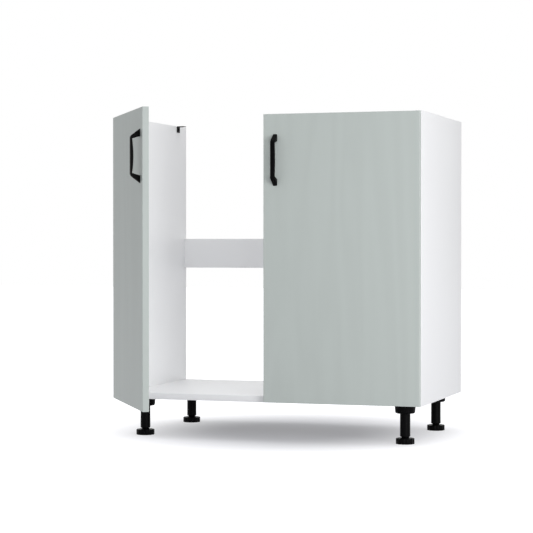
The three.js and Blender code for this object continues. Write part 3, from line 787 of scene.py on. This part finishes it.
def socket_profile(sizes, height, top):
    """Half section of a leg socket, hollow below: a sleeve, and a skirt with a lip.

    The skirt is widest at the top. It narrows to its lip, a quarter circle.
    """
    play, roof, lip, draft, ease = 0.3 * MM, 3 * MM, 4.5 * MM, 1.5 * MM, 0.4 * MM
    bore = sizes.tube_radius + play
    sleeve, inside = bore + sizes.socket_wall, top - sizes.socket_wall
    arc = np.linspace(0, np.pi / 2, 9)
    across = top - draft - lip + lip * np.sin(arc)
    curve = np.stack([across, -height + lip * (1 - np.cos(arc))], -1)
    return np.concatenate(
        [
            [(0, -roof), (bore, -roof), (bore, -height + ease), (bore + ease, -height)],
            [(sleeve - ease, -height), (sleeve, -height + ease)],
            [(sleeve, -roof - 2 * ease), (sleeve + 2 * ease, -roof)],
            [(inside - 2 * ease, -roof), (inside, -roof - 2 * ease)],
            curve,
            [(top - ease / 4, -ease), (top - ease, 0), (0, 0)],
        ]
    )


def tube_profile(sizes, lowest, highest):
    """Half section of a leg's tube, its outer edges and its lower bore chamfered."""
    radius, ease = sizes.tube_radius, 0.7 * MM
    bore = radius - sizes.tube_wall
    return [
        (bore, lowest + ease),
        (bore + ease, lowest),
        (radius - ease, lowest),
        (radius, lowest + ease),
        (radius, highest - ease),
        (radius - ease, highest),
        (bore, highest),
        (bore, lowest + ease),
    ]


def foot_points(sizes, radius, top):
    """A scalloped foot with a threaded stem, as rings from its underside to its top.

    The rim's radius is R - d ((1 - cos 12a) / 2)^2 round the axis. On the stem the
    radius is r - p |2 frac(z/pitch - a/2pi) - 1|, a thread that climbs once a turn.
    """
    phase, lobes = circle(96), 12
    dip = ((1 - np.cos(lobes * phase)) / 2) ** 2
    ease, neck, dish, play, end = 1.5 * MM, 0.5 * MM, 0.9 * MM, 0.3 * MM, 1 * MM
    height, pitch = sizes.foot_height, sizes.thread_pitch
    thread_end = height + 32 * MM
    stem = sizes.tube_radius - sizes.tube_wall - play

    def rings(rows):
        """Plain rings at rows of (radius, height)."""
        rows = np.array(rows, float)[:, None, :]
        return np.broadcast_to(rows, (len(rows), len(phase), 2))

    arc = np.linspace(0, np.pi / 2, 6)
    inwards, upwards = ease * (1 - np.sin(arc)), ease * (1 - np.cos(arc))
    lower = np.stack([-inwards, upwards], -1)
    upper = np.stack([-upwards, height - inwards], -1)
    edge = np.concatenate([lower, upper])
    scallop = (radius - sizes.foot_lobe * dip)[None] + edge[:, :1]
    rim = np.stack([scallop, np.broadcast_to(edge[:, 1:], scallop.shape)], -1)
    shoulder = [(radius * 0.8, height), (radius * 0.74, height - dish)]
    shoulder += [(radius * 0.52, height - dish), (radius * 0.47, height + neck)]
    z = np.arange(height + neck, thread_end, pitch / 8)[:, None]
    climb = z / pitch - phase[None] / (2 * np.pi)
    shown = np.clip((z - height - neck) / end, 0, 1)
    groove = shown * sizes.thread_depth * np.abs(2 * (climb % 1) - 1)
    thread = np.stack([stem - groove, np.broadcast_to(z, groove.shape)], -1)
    tip = [(stem, thread_end + end), (stem, top - end), (stem - end, top), (0, top)]
    rows = np.concatenate([rings([(0, 0)]), rim, rings(shoulder), thread, rings(tip)])
    across, level = rows[..., 0], rows[..., 1]
    return np.stack([across * np.cos(phase), across * np.sin(phase), level], -1)


class CABINET_OT_legs(bpy.types.Operator):
    """Levelling legs: sockets under the bottom panel, tubes, and threaded feet"""

    bl_idname = "cabinet.legs"
    bl_label = "Legs"

    def execute(self, context):
        for side in SIDES:
            for end in ENDS:
                self.make(f"{side}_{end}_leg", context.scene.cabinet_sizes)
        return {"FINISHED"}

    def make(self, leg, sizes):
        """A leg's three mouldings, one under the other."""
        socket, tube, foot = (f"{leg}_{part}" for part in ("socket", "tube", "foot"))
        lowest, highest = low(socket), high(socket)
        axis = middle(socket) * (1, 1, 0)
        width, _, height = highest - lowest
        sleeve = turned(socket_profile(sizes, height, width / 2)) + (0, 0, highest[2])
        shaft = turned(tube_profile(sizes, low(tube)[2], high(tube)[2]))
        base = foot_points(sizes, (high(foot) - low(foot))[0] / 2, high(foot)[2])
        shapes = {socket: sleeve, tube: shaft, foot: base}
        for node, points in shapes.items():
            made = skin(points + axis, caps=False)
            body = f"{foot}_body" if node == foot else "carcass"
            black = material("leg_plastic")
            piece(f"{node}_moulding", made, black, body, [node])


# ------------------------------------------------------------ brackets


class CABINET_OT_brackets(bpy.types.Operator):
    """Angle brackets for the worktop, and the screws in the side panels"""

    bl_idname = "cabinet.brackets"
    bl_label = "Worktop brackets"

    def execute(self, context):
        for side in SIDES:
            for end in ENDS:
                node = f"{side}_{end}_worktop_bracket"
                finish_node(node, material("handle_coat"))
                self.screw(context.scene.cabinet_sizes, side, node)
        return {"FINISHED"}

    def screw(self, sizes, side, node):
        """The screw that holds a bracket to the side panel."""
        inward = -SIDES[side]
        seat = middle(node)
        seat[0] = INNER_FACE[side] + inward * sizes.bracket_sheet
        local = small_screw(sizes, height=1.5 * MM, reach=9 * MM)
        made = skin(facing(local, seat, (inward, 0, 0), (0, 1, 1)), caps=False)
        piece(f"{node}_screw", made, material("handle_coat"), "carcass")


# ------------------------------------------------------------ hinges


# A plate's screws: how far off the side panel's inner face, behind the carcass's front
# edges, and above or below the hinge's middle.
PLATE_SCREW_OFF, PLATE_SCREW_BEHIND, PLATE_SCREW_RISE = 3 * MM, 37 * MM, 16 * MM
# A cup's screws: how far in from the door's hinge edge, above or below the cup's
# middle, and under the face of its flange.
CUP_SCREW_IN, CUP_SCREW_RISE, CUP_SCREW_SINK = 30.5 * MM, 22.5 * MM, 0.11 * MM
# The adjusting screw in the arm's round hole and the fixing screw on its slot: how far
# each is off the inner face and behind the front edges, and its head's radius.
ARM_SCREWS = ((15.4 * MM, 48 * MM, 2.1 * MM), (16.6 * MM, 60 * MM, 3.4 * MM))


class CABINET_OT_hinges(bpy.types.Operator):
    """Cup hinges in nickel-plated steel, with the screws of plates, arms and cups"""

    bl_idname = "cabinet.hinges"
    bl_label = "Hinges"

    def execute(self, context):
        sizes = context.scene.cabinet_sizes
        for node in frame["nodes"]:
            if "_hinge_" in node:
                finish_node(node, material("nickel_plate"))
        for side in SIDES:
            for level in LEVELS:
                hinge = f"{side}_{level}_hinge"
                plate = self.plate_screws(sizes, side, hinge)
                self.make(f"{hinge}_plate_screws", plate, "carcass")
                arm = self.arm_screws(side, hinge)
                self.make(f"{hinge}_arm_screws", arm, "carcass")
                cup = self.cup_screws(sizes, side, level)
                self.make(f"{hinge}_cup_screws", cup, f"{side}_door_body")
        return {"FINISHED"}

    def make(self, name, screws, body):
        """One piece of several screws, each given as its rings of points."""
        made = together([skin(points, caps=False) for points in screws])
        piece(name, made, material("nickel_plate"), body)

    def plate_screws(self, sizes, side, hinge):
        """The two screws that hold a hinge's plate to the side panel."""
        inward = -SIDES[side]
        local = small_screw(sizes, height=1.6 * MM, reach=12 * MM)
        for rise in (-PLATE_SCREW_RISE, PLATE_SCREW_RISE):
            seat = middle(f"{hinge}_plate") + (0, 0, rise)
            seat[0] = INNER_FACE[side] + inward * PLATE_SCREW_OFF
            seat[1] = FRONT_PLANE + PLATE_SCREW_BEHIND
            yield facing(local, seat, (inward, 0, 0), (0, 1, 0.4))

    def arm_screws(self, side, hinge):
        """The screws that adjust and fix the hinge's arm on its plate."""
        inward = -SIDES[side]
        for off, behind, head in ARM_SCREWS:
            local = screw_points(head, height=1.6 * MM, shank=head * 0.6, reach=3 * MM)
            seat = middle(f"{hinge}_plate")
            seat[0] = INNER_FACE[side] + inward * off
            seat[1] = FRONT_PLANE + behind
            yield facing(local, seat, (inward, 0, 0), (0, 1, 0.7))

    def cup_screws(self, sizes, side, level):
        """The two screws that hold a hinge's cup in the door."""
        cup = f"right_{level}_hinge_cup"
        local = small_screw(sizes, height=1.5 * MM, reach=11 * MM)
        for rise in (-CUP_SCREW_RISE, CUP_SCREW_RISE):
            seat = middle(cup) + (0, 0, rise)
            seat[0] = high("right_door")[0] - CUP_SCREW_IN
            seat[1] = high(cup)[1] - CUP_SCREW_SINK
            yield resting(side, facing(local, seat, (0, 1, 0), (1, 0, 0.3)))


# ------------------------------------------------------------ stage


# Each lamp's place and its width.
LAMPS = {
    "key": ((2.2, -1.45, 0.5), 1.0),
    "front": ((1.7, -2.3, 0.9), 1.5),
    "top": ((0.05, 0.25, 2.6), 2.0),
}
LIT_POINT = (0, 0, 0.45)  # the cabinet's middle, which they face
FLOOR_HALF = 14.0  # half the floor's width
# The shadow's middle, its half widths, and how many of these out from the middle the
# floor's lift to white starts and ends.
SHADOW_MIDDLE = (-0.007, 0.188, 0.0)
SHADOW_SPREAD = (0.426, 0.45, 1.0)
SHADOW_FADE = (0.352, 1.593)
WHITE = (1, 1, 1, 1)


class CABINET_OT_stage(bpy.types.Operator):
    """Pale floor, soft light and the camera"""

    bl_idname = "cabinet.stage"
    bl_label = "Stage"

    def execute(self, context):
        settings = context.scene.cabinet_stage
        self.floor(context, settings)
        self.world(context, settings)
        for name, (place, size) in LAMPS.items():
            watts = getattr(settings, f"{name}_power")
            self.lamp(context, f"{name}_light", place, size, watts)
        self.camera(context, settings)
        context.scene.view_settings.view_transform = "Standard"
        return {"FINISHED"}

    def seen(self, shader):
        """1 on what the camera sees directly, in a mirror or through glass."""
        path = shader.node("ShaderNodeLightPath")
        seen = path["Is Camera Ray"].greater(path["Is Glossy Ray"])
        return seen.greater(path["Is Transmission Ray"])

    def floor(self, context, settings):
        """A wide floor. What is seen of it is lifted to white away from the cabinet."""
        corners = [(-1, -1, 0), (1, -1, 0), (1, 1, 0), (-1, 1, 0)]
        vertices = FLOOR_HALF * np.array(corners)
        mesh = bpy.data.meshes.new("floor")
        mesh.from_pydata(vertices.tolist(), [], [(0, 1, 2, 3)])
        floor = bpy.data.objects.new("floor", mesh)
        context.scene.collection.objects.link(floor)
        finish = bpy.data.materials.new("floor_paint")
        shader = Shader(finish)
        here = shader.node("ShaderNodeTexCoord")["Object"]
        from_middle = shader.vector_maths("SUBTRACT", here, SHADOW_MIDDLE)["Vector"]
        evened = shader.vector_maths("DIVIDE", from_middle, SHADOW_SPREAD)["Vector"]
        away = shader.vector_maths("LENGTH", evened)["Value"]
        seen, lift = self.seen(shader), settings.floor_lift
        strength = seen * (lift + (1 - lift) * away.between(*SHADOW_FADE))
        paint = {"Color": colour(settings.floor)}
        light = {"Color": WHITE, "Strength": strength}
        both = {
            0: shader.node("ShaderNodeBsdfDiffuse", None, paint)[0],
            1: shader.node("ShaderNodeEmission", None, light)[0],
        }
        mixture = shader.node("ShaderNodeAddShader", None, both)[0]
        shader.output("ShaderNodeOutputMaterial", mixture)
        mesh.materials.append(finish)

    def world(self, context, settings):
        """White where it is seen, and a soft even light everywhere else."""
        world = bpy.data.worlds.new("studio")
        context.scene.world = world
        shader = Shader(world)
        seen = self.seen(shader)
        light = {"Color": WHITE, "Strength": seen + (1 - seen) * settings.sky}
        glow = shader.node("ShaderNodeBackground", None, light)
        shader.output("ShaderNodeOutputWorld", glow[0])

    def lamp(self, context, name, place, size, watts):
        """A square lamp that looks at the cabinet's middle."""
        light = bpy.data.lights.new(name, "AREA")
        light.size = size
        light.energy = watts
        lamp = bpy.data.objects.new(name, light)
        away = np.array(place) - LIT_POINT
        away /= np.linalg.norm(away)
        across = np.cross((0, 0, 1), away)
        across /= np.linalg.norm(across)
        basis = np.stack([across, np.cross(away, across), away], -1)
        lamp.matrix_world = Matrix(basis.tolist()).to_4x4()
        lamp.location = place
        context.scene.collection.objects.link(lamp)

    def camera(self, context, settings):
        """The photograph's view: yaw, pitch and roll turn the camera's three axes."""
        yaw, pitch = settings.camera_yaw, settings.camera_pitch
        right = np.array([math.cos(yaw), math.sin(yaw), 0])
        flat_ahead = np.array([-math.sin(yaw), math.cos(yaw), 0])
        ahead = math.cos(pitch) * flat_ahead + (0, 0, math.sin(pitch))
        up = np.cross(right, ahead)
        cosine, sine = math.cos(settings.camera_roll), math.sin(settings.camera_roll)
        axes = [cosine * right + sine * up, cosine * up - sine * right, -ahead]
        lens = bpy.data.cameras.new("camera")
        lens.sensor_width = 36.0
        lens.lens = settings.focal * lens.sensor_width
        lens.clip_end = 100.0
        camera = bpy.data.objects.new("camera", lens)
        camera.matrix_world = Matrix(np.stack(axes, -1).tolist()).to_4x4()
        x, y, z = settings.camera_x, settings.camera_y, settings.camera_z
        camera.location = (x, y + FRONT_PLANE, z)
        context.scene.collection.objects.link(camera)
        context.scene.camera = camera


# ------------------------------------------------------------ panel and run


class CABINET_PT_panel(bpy.types.Panel):
    """Lists the cabinet's pieces in the sidebar"""

    bl_idname = "CABINET_PT_panel"
    bl_label = "Sink base cabinet"
    bl_space_type = "VIEW_3D"
    bl_region_type = "UI"
    bl_category = "Cabinet"

    def draw(self, context):
        for operator in OPERATORS:
            self.layout.operator(operator.bl_idname)
        for group in GROUPS:
            settings = getattr(context.scene, group)
            for name in type(settings).__annotations__:
                self.layout.prop(settings, name)


OPERATORS = (
    CABINET_OT_stage,
    CABINET_OT_boards,
    CABINET_OT_doors,
    CABINET_OT_handles,
    CABINET_OT_legs,
    CABINET_OT_brackets,
    CABINET_OT_hinges,
)
GROUPS = {
    "cabinet_sizes": CabinetSizes,
    "cabinet_finishes": CabinetFinishes,
    "cabinet_stage": CabinetStage,
}


def register():
    for group in GROUPS.values():
        bpy.utils.register_class(group)
    for operator in OPERATORS:
        bpy.utils.register_class(operator)
    bpy.utils.register_class(CABINET_PT_panel)
    for name, group in GROUPS.items():
        setattr(bpy.types.Scene, name, bpy.props.PointerProperty(type=group))


def unregister():
    for name in GROUPS:
        delattr(bpy.types.Scene, name)
    bpy.utils.unregister_class(CABINET_PT_panel)
    for operator in reversed(OPERATORS):
        bpy.utils.unregister_class(operator)
    for group in reversed(list(GROUPS.values())):
        bpy.utils.unregister_class(group)


def main():
    """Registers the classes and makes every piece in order."""
    register()
    bpy.ops.cabinet.stage()
    bpy.ops.cabinet.boards()
    bpy.ops.cabinet.doors()
    bpy.ops.cabinet.handles()
    bpy.ops.cabinet.legs()
    bpy.ops.cabinet.brackets()
    bpy.ops.cabinet.hinges()


if __name__ == "__main__":
    main()
